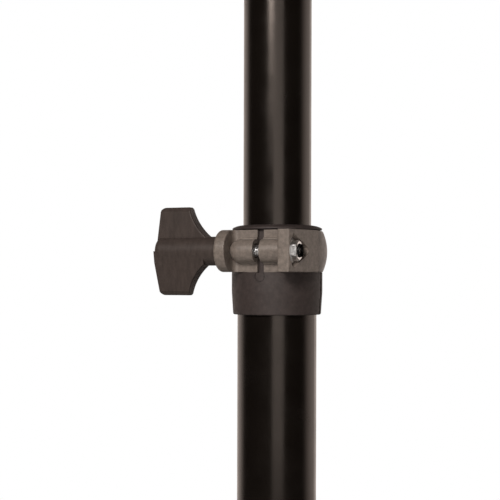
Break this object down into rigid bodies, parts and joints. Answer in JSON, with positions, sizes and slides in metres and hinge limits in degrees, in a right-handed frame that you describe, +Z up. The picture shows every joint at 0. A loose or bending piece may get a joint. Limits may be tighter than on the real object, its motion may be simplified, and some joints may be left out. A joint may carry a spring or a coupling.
{
  "type": "music stand",
  "caption": "Music stand with a folding tripod, a two-part telescopic mast held by a split clamp with a T-knob, and a tilting sheet-steel desk.",
  "frame": {"origin": "on the floor, on the mast's axis", "axes": "+Z up along the mast, -Y towards the player and the clamp's slit, +X to the right of a player who faces the desk, the side of the desk's tilt knob"},
  "size_m": [0.5756, 0.502, 1.2805],
  "materials": {
    "steel_black": "satin black powder coat",
    "nylon_grey": "grey-brown glass-filled nylon",
    "nylon_black": "black glass-filled nylon",
    "knob_plastic": "dark moulded plastic",
    "acetal": "natural acetal",
    "zinc": "bright zinc plate",
    "brass": "turned brass",
    "rubber": "black rubber",
    "nylon_insert": "black nylon",
    "desk_paint": "fine-textured black powder coat"
  },
  "bodies": {
    "base": {"hub": "nylon_black", "hub_set_screws": "zinc", "leg_bolts": "zinc", "leg_bolt_washers": "zinc", "leg_lock_nuts": "zinc", "lower_tube": "steel_black", "lower_tube_plug": "nylon_black", "clamp_sleeve": "nylon_black", "sleeve_liner": "nylon_black", "clamp_collar": "nylon_grey", "clamp_nut": "zinc", "clamp_nut_insert": "nylon_insert"},
    "clamp_screw_travel": {"clamp_thrust_washer": "zinc"},
    "clamp_screw": {"clamp_knob": "knob_plastic", "clamp_stud": "zinc"},
    "mast_slider": {"guide_bush": "acetal"},
    "mast": {"upper_tube": "steel_black", "tube_end_plug": "nylon_black", "bush_stop_ring": "zinc", "tilt_head": "nylon_black", "tilt_head_screws": "zinc", "tilt_friction_discs": "acetal"},
    "desk": {"desk_bracket": "steel_black", "desk_plate": "desk_paint", "desk_shelf": "desk_paint", "bracket_rivets": "zinc", "shelf_rivets": "zinc", "tilt_bolt": "zinc"},
    "tilt_screw_travel": {"tilt_washer": "zinc"},
    "tilt_screw": {"tilt_knob": "knob_plastic", "tilt_knob_insert": "brass"},
    "leg_front": {"leg_front_knuckle": "nylon_black", "leg_front_tube": "steel_black", "leg_front_foot": "rubber"},
    "leg_right": {"leg_right_knuckle": "nylon_black", "leg_right_tube": "steel_black", "leg_right_foot": "rubber"},
    "leg_left": {"leg_left_knuckle": "nylon_black", "leg_left_tube": "steel_black", "leg_left_foot": "rubber"}
  },
  "joints": [
    {"name": "clamp_knob_travel", "type": "slide", "parent": "base", "child": "clamp_screw_travel", "axis": [-1, 0, 0], "range_m": [0, 0.0017]},
    {"name": "clamp_knob_turn", "type": "hinge", "parent": "clamp_screw_travel", "child": "clamp_screw", "pos_m": [-0.0183, -0.0203, 0.64], "axis": [-1, 0, 0], "range_deg": [0, 720]},
    {"name": "mast_slide", "type": "slide", "parent": "base", "child": "mast_slider", "axis": [0, 0, 1], "range_m": [-0.22, 0.165]},
    {"name": "mast_turn", "type": "hinge", "parent": "mast_slider", "child": "mast", "pos_m": [0, 0, 0.436], "axis": [0, 0, 1], "continuous": true},
    {"name": "desk_tilt", "type": "hinge", "parent": "mast", "child": "desk", "pos_m": [0, 0, 1.054], "axis": [1, 0, 0], "range_deg": [-70, 15]},
    {"name": "tilt_knob_travel", "type": "slide", "parent": "desk", "child": "tilt_screw_travel", "axis": [1, 0, 0], "range_m": [0, 0.0021]},
    {"name": "tilt_knob_turn", "type": "hinge", "parent": "tilt_screw_travel", "child": "tilt_screw", "pos_m": [0.0116, 0, 1.054], "axis": [1, 0, 0], "range_deg": [0, 720]},
    {"name": "leg_front_fold", "type": "hinge", "parent": "base", "child": "leg_front", "pos_m": [0, -0.046, 0.222], "axis": [1, 0, 0], "range_deg": [0, 52]},
    {"name": "leg_right_fold", "type": "hinge", "parent": "base", "child": "leg_right", "pos_m": [0.03984, 0.023, 0.222], "axis": [-0.5, 0.866, 0], "range_deg": [0, 52]},
    {"name": "leg_left_fold", "type": "hinge", "parent": "base", "child": "leg_left", "pos_m": [-0.03984, 0.023, 0.222], "axis": [-0.5, -0.866, 0], "range_deg": [0, 52]}
  ],
  "couplings": [
    {"joint": "clamp_knob_travel", "follows": "clamp_knob_turn", "m_per_rad": 0.00012732},
    {"joint": "tilt_knob_travel", "follows": "tilt_knob_turn", "m_per_rad": 0.00015915}
  ]
}
